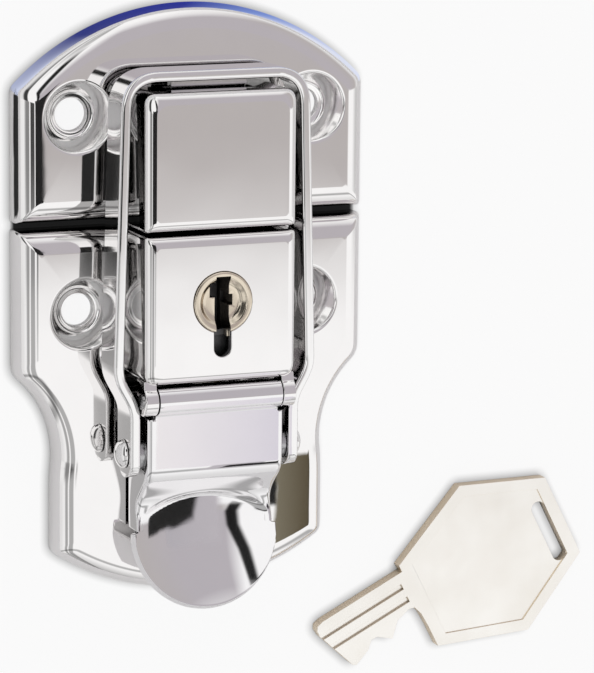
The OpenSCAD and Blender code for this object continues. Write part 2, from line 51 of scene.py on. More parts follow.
# %% [markdown]
# ## Camera
# The photograph looks down on the latch from the left and a little from the lid's end, with a long
# lens. The camera's place, its lens and the small shift of the frame come from lining up the
# plates' corners.

# %% Place the camera
CAMERA_AT = Vector((-189.0, 89.2, 503.0)) * MM
CAMERA_TARGET = Vector((0.0, -10.5, 6.0)) * MM
CAMERA_LENS = 191.0
CAMERA_SHIFT = (0.1471, -0.0643)
CAMERA_ROLL = 0.29
CAMERA_SENSOR = 36.0
CAMERA_CLIP = (0.01, 10.0)


def aim(place, target):
    """The turn that points the camera's minus Z axis at the target, with Y up on the page."""
    back = (place - target).normalized()
    right = Vector((0, 1, 0)).cross(back).normalized()
    up = back.cross(right)
    return Matrix((right, up, back)).transposed().to_4x4()


camera_data = bpy.data.cameras.new("photo_camera")
camera_data.lens = CAMERA_LENS
camera_data.sensor_width = CAMERA_SENSOR
camera_data.shift_x, camera_data.shift_y = CAMERA_SHIFT
camera_data.clip_start, camera_data.clip_end = CAMERA_CLIP
camera = bpy.data.objects.new("photo_camera", camera_data)
roll = Matrix.Rotation(math.radians(CAMERA_ROLL), 4, "Z")
camera.matrix_world = Matrix.Translation(CAMERA_AT) @ aim(CAMERA_AT, CAMERA_TARGET) @ roll
scene.collection.objects.link(camera)
scene.camera = camera
print("camera", [round(c / MM) for c in CAMERA_AT], "lens", CAMERA_LENS)

# %% [markdown]
# ## Wear and grain shared by the finishes
# Plated sheet is never a perfect mirror: the press leaves a faint wave, handling leaves fine
# scratches, and the tone drifts a little. One node group makes these on Object coordinates, and
# each finish sets its own amounts.

# %% Build the shared surface group
WAVE_NOISE = (70.0, 1.0)
SCRATCH_NOISE = (900.0, 4.0, (1.0, 0.06, 1.0))
SMEAR_NOISE = (140.0, 3.0)
SCRATCH_BLUR = 0.1
SCRATCH_RELIEF = 0.004


def new_socket(group, name, kind, inward, value=None):
    way = "INPUT" if inward else "OUTPUT"
    socket = group.interface.new_socket(name=name, in_out=way, socket_type=kind)
    if value is not None:
        socket.default_value = value


def feed(tree, socket, value):
    """Gives a socket a number or a link."""
    if isinstance(value, (int, float)):
        socket.default_value = value
    else:
        tree.links.new(value, socket)


def math_node(tree, operation, *values):
    """A Math node fed with numbers or sockets."""
    node = tree.nodes.new("ShaderNodeMath")
    node.operation = operation
    for socket, value in zip(node.inputs, values):
        feed(tree, socket, value)
    return node.outputs[0]


def set_inputs(node, values):
    """Sets a node's inputs by their names."""
    for name, value in values.items():
        node.inputs[name].default_value = value


def wire(tree, *rows):
    """Links in rows of a node, its output, the next node and that node's input."""
    for giver, output, taker, entry in rows:
        tree.links.new(giver.outputs[output], taker.inputs[entry])


def make_sheet_surface():
    group = bpy.data.node_groups.new("sheet_surface", "ShaderNodeTree")
    amounts = {"Wave": 0.1, "Scratch": 0.1, "Roughness": 0.08, "Smear": 0.04}
    for name, value in amounts.items():
        new_socket(group, name, "NodeSocketFloat", True, value)
    for name, tone in (("Tone A", 0.8), ("Tone B", 0.7)):
        new_socket(group, name, "NodeSocketColor", True, (tone, tone, tone, 1))
    new_socket(group, "Color", "NodeSocketColor", False)
    new_socket(group, "Roughness", "NodeSocketFloat", False)
    new_socket(group, "Height", "NodeSocketFloat", False)
    tree, link = group.nodes, group.links.new
    entry = tree.new("NodeGroupInput")
    leave = tree.new("NodeGroupOutput")
    coords = tree.new("ShaderNodeTexCoord")

    def noise(scale, detail, stretch=(1, 1, 1)):
        mapping = tree.new("ShaderNodeMapping")
        set_inputs(mapping, {"Scale": stretch})
        texture = tree.new("ShaderNodeTexNoise")
        set_inputs(texture, {"Scale": scale, "Detail": detail})
        wire(group, (coords, "Object", mapping, "Vector"), (mapping, "Vector", texture, "Vector"))
        return texture.outputs["Fac"]

    wave = noise(*WAVE_NOISE)
    scratch = noise(*SCRATCH_NOISE)
    smear = noise(*SMEAR_NOISE)
    mix = tree.new("ShaderNodeMix")
    mix.data_type = "RGBA"
    link(smear, mix.inputs["Factor"])
    wire(
        group, (entry, "Tone A", mix, "A"), (entry, "Tone B", mix, "B"),
        (mix, "Result", leave, "Color"))
    fine = math_node(group, "MULTIPLY", scratch, entry.outputs["Scratch"])
    rough = entry.outputs["Roughness"]
    blur = math_node(group, "MULTIPLY_ADD", smear, entry.outputs["Smear"], rough)
    link(math_node(group, "MULTIPLY_ADD", fine, SCRATCH_BLUR, blur), leave.inputs["Roughness"])
    swell = math_node(group, "MULTIPLY", wave, entry.outputs["Wave"])
    link(math_node(group, "MULTIPLY_ADD", fine, SCRATCH_RELIEF, swell), leave.inputs["Height"])
    return group


sheet_surface = make_sheet_surface()
print("group", sheet_surface.name, "with", len(sheet_surface.nodes), "nodes")

# %% [markdown]
# ## The finishes
# The sheet pieces share one bright nickel that differs a little from piece to piece, as batches
# from a plating bath do. The dimples take a lighter copy of that nickel, which is a painted
# highlight, and no painted shade. The plug's nickel is so thin that the brass shows through, the
# key is satin with yellowish edges, and the works are plain steel. Each finish is one metal shader
# fed by the shared group, and its colour is darkened in deep corners and close to other pieces:
# that is painted shade.

# %% Make the finishes
# Painted shade in deep corners and near other pieces: its darkest tone, reach, range and samples
PAINTED_SHADE_TONE = 0.12
PAINTED_SHADE_REACH = 5.0
PAINTED_SHADE_RANGE = (0.1, 0.45)
PAINTED_SHADE_SAMPLES = 8
RELIEF_DEPTH = 0.2


def new_material(name):
    """A fresh material, its node tree, its shader and the call for more nodes."""
    material = bpy.data.materials.new(name)
    material.use_nodes = True
    tree = material.node_tree
    return material, tree, tree.nodes["Principled BSDF"], tree.nodes.new


def make_finish(name, tone_a, tone_b, roughness, wave, scratch, smear, painted_shade_tone=PAINTED_SHADE_TONE):
    """Metal with its own amounts of the shared wear, and painted shade in deep corners down to its
    tone.
    """
    material, tree, shader, new = new_material(name)
    set_inputs(shader, {"Metallic": 1.0})
    surface = new("ShaderNodeGroup")
    surface.node_tree = sheet_surface
    set_inputs(surface, {"Tone A": (*tone_a, 1), "Tone B": (*tone_b, 1)})
    set_inputs(surface, {"Roughness": roughness, "Wave": wave, "Scratch": scratch, "Smear": smear})
    relief = new("ShaderNodeBump")
    set_inputs(relief, {"Strength": 1.0, "Distance": RELIEF_DEPTH * MM})
    # Painted shade: the base colour darkens where faces of this piece or of others lie within the
    # reach
    corner = new("ShaderNodeAmbientOcclusion")
    corner.samples = PAINTED_SHADE_SAMPLES
    set_inputs(corner, {"Distance": PAINTED_SHADE_REACH * MM})
    painted_shade_map = new("ShaderNodeMapRange")
    low, high = PAINTED_SHADE_RANGE
    set_inputs(painted_shade_map, {"From Min": low, "From Max": high, "To Min": painted_shade_tone, "To Max": 1.0})
    shade = new("ShaderNodeVectorMath")
    shade.operation = "SCALE"
    wire(
        tree, (corner, "AO", painted_shade_map, "Value"), (surface, "Color", shade, 0),
        (painted_shade_map, "Result", shade, "Scale"), (shade, "Vector", shader, "Base Color"),
        (surface, "Roughness", shader, "Roughness"), (surface, "Height", relief, "Height"),
        (relief, "Normal", shader, "Normal"))
    return material


# Two tones, roughness, wave, scratch, smear, and any painted corner shade tone of its own
FINISHES = {
    "plate_nickel": ((0.94, 0.925, 0.92), (0.89, 0.875, 0.87), 0.03, 0.16, 0.1, 0.02),
    # The dimples' lighter nickel is a painted highlight, and its tone of 1.0 leaves out the painted
    # shade
    "dimple_nickel_painted_highlight": ((0.99, 0.98, 0.975), (0.95, 0.94, 0.935), 0.08, 0.1, 0.1, 0.02, 1.0),
    "box_nickel": ((0.94, 0.925, 0.92), (0.89, 0.875, 0.87), 0.03, 0.14, 0.1, 0.02),
    "lever_nickel": ((0.93, 0.92, 0.925), (0.88, 0.87, 0.875), 0.035, 0.1, 0.1, 0.02),
    "bail_nickel": ((0.94, 0.93, 0.925), (0.89, 0.88, 0.875), 0.04, 0.12, 0.2, 0.03),
    "plug_brass": ((0.86, 0.78, 0.66), (0.72, 0.62, 0.48), 0.12, 0.2, 0.4, 0.06),
    "key_nickel": ((1.0, 0.985, 0.95), (0.92, 0.88, 0.81), 0.16, 0.14, 0.3, 0.1),
    "key_edge": ((0.95, 0.84, 0.68), (0.8, 0.68, 0.52), 0.25, 0.1, 0.25, 0.06),
    "works_steel": ((0.24, 0.24, 0.245), (0.16, 0.16, 0.165), 0.42, 0.3, 0.6, 0.1),
    "pin_steel": ((0.6, 0.6, 0.6), (0.45, 0.45, 0.46), 0.2, 0.3, 0.5, 0.08),
}
finishes = {name: make_finish(name, *row) for name, row in FINISHES.items()}
print("finishes:", ", ".join(finishes))

# %% [markdown]
# ## From a shape to a piece
# Each piece is drawn in millimetres, turned into a mesh in metres, eased along its edges, and
# shaded so that large flat faces stay flat and bends stay round. Then it takes the place of its CAD
# node and rides on that node's body.

# %% Helpers that finish a piece
WELD = 1e-4
FACE_WEIGHT = 60


def mesh_from(shape, name):
    """The object that holds a bmesh drawn in millimetres."""
    bmesh.ops.remove_doubles(shape, verts=shape.verts, dist=WELD)
    bmesh.ops.recalc_face_normals(shape, faces=shape.faces)
    bmesh.ops.scale(shape, vec=(MM, MM, MM), verts=shape.verts)
    mesh = bpy.data.meshes.new(name)
    shape.to_mesh(mesh)
    shape.free()
    mesh.shade_smooth()
    return bpy.data.objects.new(name, mesh)


def plain_mesh(piece):
    """Turns what the modifiers make into the piece's own mesh."""
    scene.collection.objects.link(piece)
    seen = piece.evaluated_get(bpy.context.evaluated_depsgraph_get())
    mesh = bpy.data.meshes.new_from_object(seen)
    piece.modifiers.clear()
    piece.data = mesh
    scene.collection.objects.unlink(piece)
    return piece


def carve(piece, *cutters):
    """Cuts the cutters out of the piece."""
    for cutter in cutters:
        scene.collection.objects.link(cutter)
        boolean = piece.modifiers.new(cutter.name, "BOOLEAN")
        boolean.operation = "DIFFERENCE"
        boolean.solver = "EXACT"
        boolean.object = cutter
    plain_mesh(piece)
    for cutter in cutters:
        bpy.data.objects.remove(cutter)
    return piece


def ease(piece, width, segments=3, angle=35, edge_slot=-1):
    """Rounds the sharp edges, which may take a second finish, and weighs the normals."""
    if width:
        bevel = piece.modifiers.new("edge", "BEVEL")
        bevel.width = width * MM
        bevel.segments = segments
        bevel.limit_method = "ANGLE"
        bevel.angle_limit = math.radians(angle)
        bevel.use_clamp_overlap = True
        bevel.miter_outer = "MITER_ARC"
        bevel.material = edge_slot
    weigh = piece.modifiers.new("weigh", "WEIGHTED_NORMAL")
    weigh.weight = FACE_WEIGHT
    return plain_mesh(piece)


def join(name, *pieces):
    """One object that holds the meshes of several."""
    shape = bmesh.new()
    for piece in pieces:
        shape.from_mesh(piece.data)
        bpy.data.objects.remove(piece)
    mesh = bpy.data.meshes.new(name)
    shape.to_mesh(mesh)
    shape.free()
    return bpy.data.objects.new(name, mesh)


def dress(piece, *names):
    """Gives a piece the finishes with these names, in place of any that it has."""
    piece.data.materials.clear()
    for name in names:
        piece.data.materials.append(finishes[name])


def put(piece, node_names, body, slot, dressed=False):
    """Sets the slot's finish, unless the piece is dressed, and swaps the piece for its CAD nodes."""
    if not dressed:
        dress(piece, slot)
    scene.collection.objects.link(piece)
    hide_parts(*node_names)
    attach(piece, body)
    faces = len(piece.data.polygons)
    print(piece.name, "with", faces, "faces, in place of", ", ".join(node_names))


# %% [markdown]
# ## Drawing with rows of points
# A pressing is no block with cuts in it: it is rows of points joined by faces. These helpers draw
# arcs, ease corners and join rows. They also make the two plain forms that the rest needs, a prism
# for cutters and ears, and a turned shape for dimples, rivets and the plug.


# %% Helpers that draw shapes
def arc(centre, radius, start, end, steps):
    """Points along an arc, with its angles in degrees."""
    turns = np.radians(np.linspace(start, end, steps + 1))
    return [(centre[0] + radius * math.cos(t), centre[1] + radius * math.sin(t)) for t in turns]


def bend_point(a, corner, b, t):
    """A point on the bend that runs from a to b inside their corner."""
    return (1 - t) ** 2 * a + 2 * t * (1 - t) * corner + t ** 2 * b


def eased(points, reach, steps=6):
    """A polyline with a smooth bend in place of each inner corner, as far as the reach from it."""
    points = [np.array(p, float) for p in points]
    reaches = reach if isinstance(reach, (list, tuple)) else [reach] * (len(points) - 2)
    bent = [points[0]]
    for before, corner, after, distance in zip(points, points[1:], points[2:], reaches):
        a = corner + (before - corner) / np.linalg.norm(before - corner) * distance
        b = corner + (after - corner) / np.linalg.norm(after - corner) * distance
        bent += [bend_point(a, corner, b, t) for t in np.linspace(0, 1, steps + 1)]
    return bent + [points[-1]]


def loop(shape, points):
    return [shape.verts.new(p) for p in points]


def strip(shape, one, two, closed=True):
    """Faces between two rows of the same number of vertices."""
    for k in range(len(one) if closed else len(one) - 1):
        n = (k + 1) % len(one)
        shape.faces.new((one[k], one[n], two[n], two[k]))


def fill(shape, outline, holes):
    """A flat face with holes, as triangles."""
    edges = []
    for row in (outline, *holes):
        edges += [shape.edges.get((row[k - 1], row[k])) for k in range(len(row))]
    bmesh.ops.triangle_fill(shape, use_beauty=True, edges=edges, normal=(0, 0, 1))


def band(half, low, high):
    """Corners of a rectangle about the middle line."""
    return [(-half, low), (half, low), (half, high), (-half, high)]


def prism(name, outline, low, high, axes="xyz"):
    """A closed outline carried from low to high along the last of the three axes."""
    order = [axes.index(letter) for letter in "xyz"]
    shape = bmesh.new()
    ends = []
    for level in (low, high):
        ends.append(loop(shape, [[(*p, level)[k] for k in order] for p in outline]))
    strip(shape, *ends)
    shape.faces.new(ends[0][::-1])
    shape.faces.new(ends[1])
    return mesh_from(shape, name)


def lathe(shape, profile, centre=(0, 0), segments=96):
    """Rings turned about an axis along Z from a list of radius and height."""
    turns = np.linspace(0, 2 * math.pi, segments, endpoint=False)
    rings = []
    for r, z in profile:
        circle = [(centre[0] + r * math.cos(t), centre[1] + r * math.sin(t), z) for t in turns]
        rings.append(loop(shape, circle))
    for one, two in zip(rings, rings[1:]):
        strip(shape, one, two)
    return rings


# %% [markdown]
# ## Outlines that move inwards
# A pressed plate is its outline with the rim bent down all round. The outline is a list of straight
# and curved edges. Each edge moves inwards by itself and meets its neighbours again, so the corners
# keep the mitre of a real pressing, and every ring has the same number of points. A bent plate is
# then a stack of rings.


# %% Rings of an outline
def straight(start, end):
    start, end = np.array(start, float), np.array(end, float)
    return {"start": start, "along": (end - start) / np.linalg.norm(end - start)}


def curved(start, centre, hollow=False):
    start, centre = np.array(start, float), np.array(centre, float)
    radius = np.linalg.norm(start - centre)
    return {"start": start, "centre": centre, "radius": radius, "hollow": hollow}


def edge_radius(edge, inset):
    return edge["radius"] + (inset if edge["hollow"] else -inset)


def meet(one, two, inset):
    """The points where two neighbouring edges meet, after both have moved left by the inset."""
    if "along" not in one:
        one, two = two, one
    left = np.array((-one["along"][1], one["along"][0]))
    point = one["start"] + inset * left
    if "along" in two:
        other = two["start"] + inset * np.array((-two["along"][1], two["along"][0]))
        shares = np.linalg.solve(np.column_stack((one["along"], -two["along"])), other - point)
        return [point + shares[0] * one["along"]]
    away = point - two["centre"]
    half = away @ one["along"]
    root = math.sqrt(half ** 2 - away @ away + edge_radius(two, inset) ** 2)
    return [point + (-half + sign * root) * one["along"] for sign in (1, -1)]


def ring(edges, inset, reaches, counts, bend_steps=5):
    """The outline's points at an inset. Corner k is where edge k starts, and is eased by reach k."""
    total = len(edges)
    corners = []
    for k in range(total):
        found = meet(edges[k - 1], edges[k], inset)
        corners.append(min(found, key=lambda p: np.linalg.norm(p - edges[k]["start"])))
    runs = []
    for k, edge in enumerate(edges):
        a, b = corners[k], corners[(k + 1) % total]
        shares = np.linspace(0, 1, counts[k])
        if "along" in edge:
            a = a + reaches[k] * edge["along"]
            b = b - reaches[(k + 1) % total] * edge["along"]
            runs.append([a + (b - a) * s for s in shares])
        else:
            radius = edge_radius(edge, inset)
            first, last = (math.atan2(*(p - edge["centre"])[::-1]) for p in (a, b))
            turn = (last - first + math.pi) % (2 * math.pi) - math.pi
            sign = math.copysign(1, turn)
            first += sign * reaches[k] / radius
            turn -= sign * (reaches[k] + reaches[(k + 1) % total]) / radius
            angles = [first + turn * s for s in shares]
            ways = [np.array((math.cos(t), math.sin(t))) for t in angles]
            runs.append([edge["centre"] + radius * way for way in ways])
    points = []
    for k in range(total):
        a, b = runs[k - 1][-1], runs[k][0]
        between = np.linspace(0, 1, bend_steps + 2)[1:-1]
        points += [bend_point(a, corners[k], b, t) for t in between] + runs[k]
    return points


def bend_profile(height, depth, radius, foot, steps=16, inset=0.0):
    """Inset and height up a wall and round a bend that reaches inwards by the depth."""
    quarter = np.radians(np.linspace(0, 90, steps + 1))
    profile = [(inset, foot)]
    for t in quarter:
        profile.append((inset + depth * (1 - math.cos(t)), height - radius + radius * math.sin(t)))
    return profile


def rim_shell(shape, outline, outer, inner):
    """Both skins of a bent rim, joined at the foot. Returns the crown's loop on each skin."""
    edges, reaches, counts = outline
    skins = []
    for profile in (outer, inner):
        rows = []
        for inset, z in profile:
            rows.append(loop(shape, [(*p, z) for p in ring(edges, inset, reaches, counts)]))
        for one, two in zip(rows, rows[1:]):
            strip(shape, one, two)
        skins.append(rows)
    strip(shape, skins[0][0], skins[1][0])
    return skins[0][-1], skins[1][-1]


# %% [markdown]
# ## The two plates
# Both plates are pressed from one thickness of sheet. The upper one has an arched top. The lower
# one is a shield with hollow sides and a curved tail, and its rim follows them without a break.
# Each screw hole lies in a dimple that is pressed down to the case.

# %% Press the plates
SHEET = 1.2
PLATE_HEIGHT = 5.0
RIM_DEPTH = 3.5
RIM_RADIUS = 3.5
HALF = 28.0
DIMPLE_R = 5.75
WALL_TOP, WALL_FOOT, UNDER_FOOT = 5.3, 3.5, 4.2
SCREW_R = 2.5
DIMPLE_DROP = 0.1
CATCH_HOLES = [(-18.7, 17.0), (18.7, 17.0)]
BASE_HOLES = [(-17.7, -12.8), (17.7, -12.8)]


def dimple_profile():
    """From the crown's upper skin down to the screw hole and back up to the lower skin."""
    top, below = PLATE_HEIGHT, PLATE_HEIGHT - SHEET
    wall = [(DIMPLE_R, top), (WALL_TOP, top), (WALL_FOOT, SHEET), (SCREW_R, SHEET)]
    upper = eased(wall, [0.42, 0.5])
    lip = eased([(SCREW_R, SHEET), (SCREW_R, 0), (UNDER_FOOT, 0)], 0.12, steps=3)
    under = eased([(UNDER_FOOT, 0), (WALL_TOP, below), (DIMPLE_R, below)], 0.3)
    return upper + lip[1:] + under[1:]


def press_plate(name, edges, reaches, counts, hole_places):
    shape = bmesh.new()
    outer = bend_profile(PLATE_HEIGHT, RIM_DEPTH, RIM_RADIUS, 0.0)
    inner = bend_profile(
        PLATE_HEIGHT - SHEET, RIM_DEPTH - SHEET, RIM_RADIUS - SHEET, 0.0, inset=SHEET)
    top, under = rim_shell(shape, (edges, reaches, counts), outer, inner)
    dimples = [lathe(shape, dimple_profile(), place, segments=72) for place in hole_places]
    fill(shape, top, [rings[0] for rings in dimples])
    fill(shape, under, [rings[-1] for rings in dimples])
    plate = mesh_from(shape, name)
    # Slot 1, the dimple faces, takes the lighter nickel: a painted highlight
    dress(plate, "plate_nickel", "dimple_nickel_painted_highlight")
    for face in plate.data.polygons:
        x, y, z = face.center / MM
        near = min(math.hypot(x - a, y - b) for a, b in hole_places)
        face.material_index = int(near < DIMPLE_R and z < PLATE_HEIGHT - DIMPLE_DROP)
    return ease(plate, 0.15, segments=2, angle=60)


def arc_centre(chord, rise):
    """Distance of an arc's centre below its chord."""
    return (chord * chord / 4 - rise * rise) / (2 * rise)


CATCH_LOW, CATCH_SIDE, CATCH_RISE = 1.0, 21.2, 12.0
dome = (0, CATCH_SIDE - arc_centre(2 * HALF, CATCH_RISE))
catch_edges = [
    straight((-HALF, CATCH_LOW), (HALF, CATCH_LOW)),
    straight((HALF, CATCH_LOW), (HALF, CATCH_SIDE)),
    curved((HALF, CATCH_SIDE), dome),
    straight((-HALF, CATCH_SIDE), (-HALF, CATCH_LOW)),
]
catch_plate = press_plate(
    "catch_plate_piece", catch_edges, reaches=[0.5, 0.5, 0.9, 0.9], counts=[2, 2, 72, 2],
    hole_places=CATCH_HOLES)
put(catch_plate, ["catch_plate"], "plates", "plate_nickel", dressed=True)

TAIL, SHOULDER_Y, TAIL_Y, TAIL_RISE = 22.0, -22.3, -50.1, 7.1
WAIST, WAIST_LAP = 16.0, 0.3
waist_x = TAIL + WAIST - WAIST_LAP
waist_y = SHOULDER_Y - math.sqrt(WAIST ** 2 - (waist_x - HALF) ** 2)
tail_join = waist_y - math.sqrt(WAIST ** 2 - (waist_x - TAIL) ** 2)
base_edges = [
    straight((HALF, 0), (-HALF, 0)),
    straight((-HALF, 0), (-HALF, SHOULDER_Y)),
    curved((-HALF, SHOULDER_Y), (-waist_x, waist_y), hollow=True),
    straight((-TAIL, tail_join), (-TAIL, TAIL_Y)),
    curved((-TAIL, TAIL_Y), (0, TAIL_Y + arc_centre(2 * TAIL, TAIL_RISE))),
    straight((TAIL, TAIL_Y), (TAIL, tail_join)),
    curved((TAIL, tail_join), (waist_x, waist_y), hollow=True),
    straight((HALF, SHOULDER_Y), (HALF, 0)),
]
base_plate = press_plate(
    "base_plate_piece", base_edges, reaches=[0.5, 0.5, 1.6, 2.5, 0.9, 0.9, 2.5, 1.6],
    counts=[2, 2, 28, 2, 48, 2, 28, 2], hole_places=BASE_HOLES)
put(base_plate, ["base_plate"], "plates", "plate_nickel", dressed=True)

# %% [markdown]
# ## The two halves of the raised box
# The box is drawn from sheet too, with tight bends. The upper half has a window for the bail's
# hook. The lower half has the plug's hole with the key slot under it, a window for the bolt, and
# two curled ears that hold the hinge pin.

# %% Draw the boxes
BOX_HALF, BOX_TOP, BOX_EDGE, BOX_INNER_EDGE = 12.0, 16.5, 1.7, 0.7
BOX_LOW, BOX_HIGH, SEAM_REACH = -22.3, 21.5, 0.25
HINGE = (-24.8, 14.3)
BARREL = 2.2
PLUG_Y = -10.0
HOOK_WINDOW, HOOK_CUT = (6.6, 8.3, 12.3), (19.0, 23.0)
BOLT_WINDOW, BOLT_CUT = (3.3, 9.0, 11.2), (-24.0, -20.0)
KEYHOLE_CUT = (14.0, 18.0)


def draw_box(name, low, high, reaches):
    corners = band(BOX_HALF, low, high)
    edges = [straight(a, b) for a, b in zip(corners, corners[1:] + corners[:1])]
    shape = bmesh.new()
    outer = bend_profile(BOX_TOP, BOX_EDGE, BOX_EDGE, PLATE_HEIGHT, steps=10)
    inner = bend_profile(
        BOX_TOP - SHEET, BOX_INNER_EDGE, BOX_INNER_EDGE, PLATE_HEIGHT, steps=6, inset=SHEET)
    top, under = rim_shell(shape, (edges, reaches, [2] * 4), outer, inner)
    shape.faces.new(top)
    shape.faces.new(under[::-1])
    return mesh_from(shape, name)


catch_box = draw_box("catch_box_piece", CATCH_LOW - SEAM_REACH, BOX_HIGH, [0.6, 0.6, 2.0, 2.0])
hook_window = prism("hook_window", band(*HOOK_WINDOW), *HOOK_CUT, "xzy")
catch_box = ease(carve(catch_box, hook_window), 0.12, segments=2)
put(catch_box, ["catch_box"], "plates", "box_nickel")

PLUG_R, PLUG_GAP, SLOT_HALF, SLOT_END = 4.6, 0.06, 1.35, -16.95
slot_turn = math.degrees(math.asin(SLOT_HALF / (PLUG_R + PLUG_GAP)))
keyhole = arc((0, PLUG_Y), PLUG_R + PLUG_GAP, -90 + slot_turn, 270 - slot_turn, 64)
keyhole += arc((0, SLOT_END), SLOT_HALF, 180, 360, 16)
EAR_X, EAR_HALF, EAR_ROOT, EAR_TOP = 11, 1, -21.6, 15.2
ear_outline = arc(HINGE, BARREL, 30, 270, 28)
ear_outline += [(EAR_ROOT, HINGE[1] - BARREL), (EAR_ROOT, EAR_TOP)]
lock_case = carve(
    draw_box("lock_case_piece", BOX_LOW, SEAM_REACH, [2.0, 2.0, 0.6, 0.6]),
    prism("keyhole", keyhole, *KEYHOLE_CUT),
    prism("bolt_window", band(*BOLT_WINDOW), *BOLT_CUT, "xzy"),
)
ears = [
    prism("ear", ear_outline, x - EAR_HALF, x + EAR_HALF, "yzx") for x in (-EAR_X, EAR_X)]
lock_case = join("lock_case_piece", lock_case, *ears)
lock_case.data.shade_smooth()
put(ease(lock_case, 0.14), ["lock_case"], "plates", "box_nickel")

# %% [markdown]
# ## The lever
# The lever is one strip of sheet: it is rolled round the hinge pin, runs flat, steps down, and ends
# in a hollow spoon under an arched fold. Its sides are folded down. One grid follows all of that,
# and a solidify gives it the sheet's thickness, so that the reflections run over the fold as they
# do on the real pressing.

# %% Shape the lever
FLAT_TOP = HINGE[1] - 0.1
SPOON_Y, SPOON_R = -46.4, 11.5
STEP_FROM, STEP_LENGTH, STEP_DROP = -34.4, 9.2, 5.0
ARCH_Y, ARCH_R, ARCH_SOFT = -60.5, 20.6, 2.0
BOWL_Y, BOWL_Z, BOWL_R = -42.4, 32.9, 26.0
FLANGE_FROM, FLANGE_END, FLANGE_ROW = -27.75, -46.0, 0.25
FOOT_AT, FOOT_Z = [27.4, 29.55, 36.75, 38.35, 46.0], [11.9, 7.75, 7.75, 5.7, 5.7]
SIDE, SIDE_BEND, SPOON_BEND = 11.0, 1.0, 0.2
SIDE_BEND_FROM, SIDE_BEND_LENGTH, LEAST_WALL = -41.0, 5.0, 0.2
LEVER_SHEET = 1.05
BARREL_HALF, ROLL_FROM, ROLL_TO = 9.8, -70, 158
FLAT_FROM, FLAT_NEXT = -27.15, -28.3
SPOON_SPREAD, SPOON_GAP, FLARE, FLARE_RATE = 82, 0.15, 0.6, 12


def smooth(t):
    t = min(max(t, 0.0), 1.0)
    return t * t * t * (t * (6 * t - 15) + 10)


def lever_height(x, y):
    step = FLAT_TOP - STEP_DROP * smooth((STEP_FROM - y) / STEP_LENGTH)
    inside = ARCH_R - math.hypot(x, y - ARCH_Y)
    if inside <= 0:
        return step
    bowl = BOWL_Z - math.sqrt(BOWL_R ** 2 - x * x - (y - BOWL_Y) ** 2)
    return step + (bowl - step) * smooth(inside / ARCH_SOFT)


def side_bend(y):
    """Radius of the bend into the side flange, which closes towards the spoon."""
    closing = SIDE_BEND - SPOON_BEND
    return SIDE_BEND - closing * smooth((SIDE_BEND_FROM - y) / SIDE_BEND_LENGTH)


def foot_height(y):
    return float(np.interp(-y, FOOT_AT, FOOT_Z))


def shape_lever():
    shape = bmesh.new()
    columns = np.linspace(-1, 1, 61)
    rolled = arc(HINGE, BARREL, ROLL_FROM, ROLL_TO, 40)
    onto_flat = eased([rolled[-1], (FLAT_FROM, FLAT_TOP), (FLAT_NEXT, FLAT_TOP)], 0.5)
    rolled += [tuple(p) for p in onto_flat[1:]]
    rows = [loop(shape, [(s * BARREL_HALF, y, z) for s in columns]) for y, z in rolled[:-1]]
    flange_rows = []
    for y in np.arange(FLANGE_FROM, FLANGE_END - 0.01, -FLANGE_ROW):
        half = SIDE - side_bend(y)
        rows.append(loop(shape, [(s * half, y, lever_height(s * half, y)) for s in columns]))
        flange_rows.append((y, rows[-1]))
    for share in np.linspace(0, 1, 48):
        points = []
        for s in columns:
            turn = math.radians(SPOON_SPREAD * s)
            flare = FLARE * smooth(share * FLARE_RATE)
            start = np.array((s * (half + flare), FLANGE_END - SPOON_GAP))
            end = np.array((SPOON_R * math.sin(turn), SPOON_Y - SPOON_R * math.cos(turn)))
            points.append(start + (end - start) * share)
        rows.append(loop(shape, [(x, y, lever_height(x, y)) for x, y in points]))
    for one, two in zip(rows, rows[1:]):
        strip(shape, one, two, closed=False)
    for side, column in ((-1, 0), (1, -1)):
        previous = None
        for y, row in flange_rows:
            top = row[column].co.z
            radius = side_bend(y)
            foot = min(foot_height(y), top - radius - LEAST_WALL)
            centre_x, centre_z = SIDE - radius, top - radius
            quarter = np.radians(np.linspace(0, 90, 9))[1:]
            bend = [
                (side * (centre_x + radius * math.sin(t)), y, centre_z + radius * math.cos(t))
                for t in quarter]
            wall = [(side * SIDE, y, z) for z in np.linspace(top - radius, foot, 5)[1:]]
            line = [row[column], *loop(shape, bend + wall)]
            if previous:
                strip(shape, previous, line, closed=False)
            previous = line
    return shape


lever = mesh_from(shape_lever(), "lever_piece")
facing = lever.data.polygons[0]
if facing.normal.dot(facing.center - Vector((0, HINGE[0], HINGE[1])) * MM) < 0:
    lever.data.flip_normals()
thick = lever.modifiers.new("sheet", "SOLIDIFY")
thick.thickness = LEVER_SHEET * MM
thick.offset = -1.0
thick.use_even_offset = False
lever = ease(plain_mesh(lever), 0.25, angle=60)
put(lever, ["lever"], "lever_arm", "lever_nickel")

# %% [markdown]
# ## The bail
# The bail is a strip on edge, bent round the box, that ends in two round eyes. A strip along a path
# suits Geometry Nodes: a rounded section is swept along the path, and the ends are drawn in to the
# eyes.


# %% Sweep the bail
def node_group(name, kind, sockets):
    """A group that takes geometry, sockets of one kind with their values, and a finish."""
    group = bpy.data.node_groups.new(name, "GeometryNodeTree")
    new_socket(group, "Geometry", "NodeSocketGeometry", True)
    for socket, value in sockets.items():
        new_socket(group, socket, kind, True, value)
    new_socket(group, "Material", "NodeSocketMaterial", True)
    new_socket(group, "Geometry", "NodeSocketGeometry", False)
    return group, group.nodes.new("NodeGroupInput"), group.nodes.new("NodeGroupOutput")


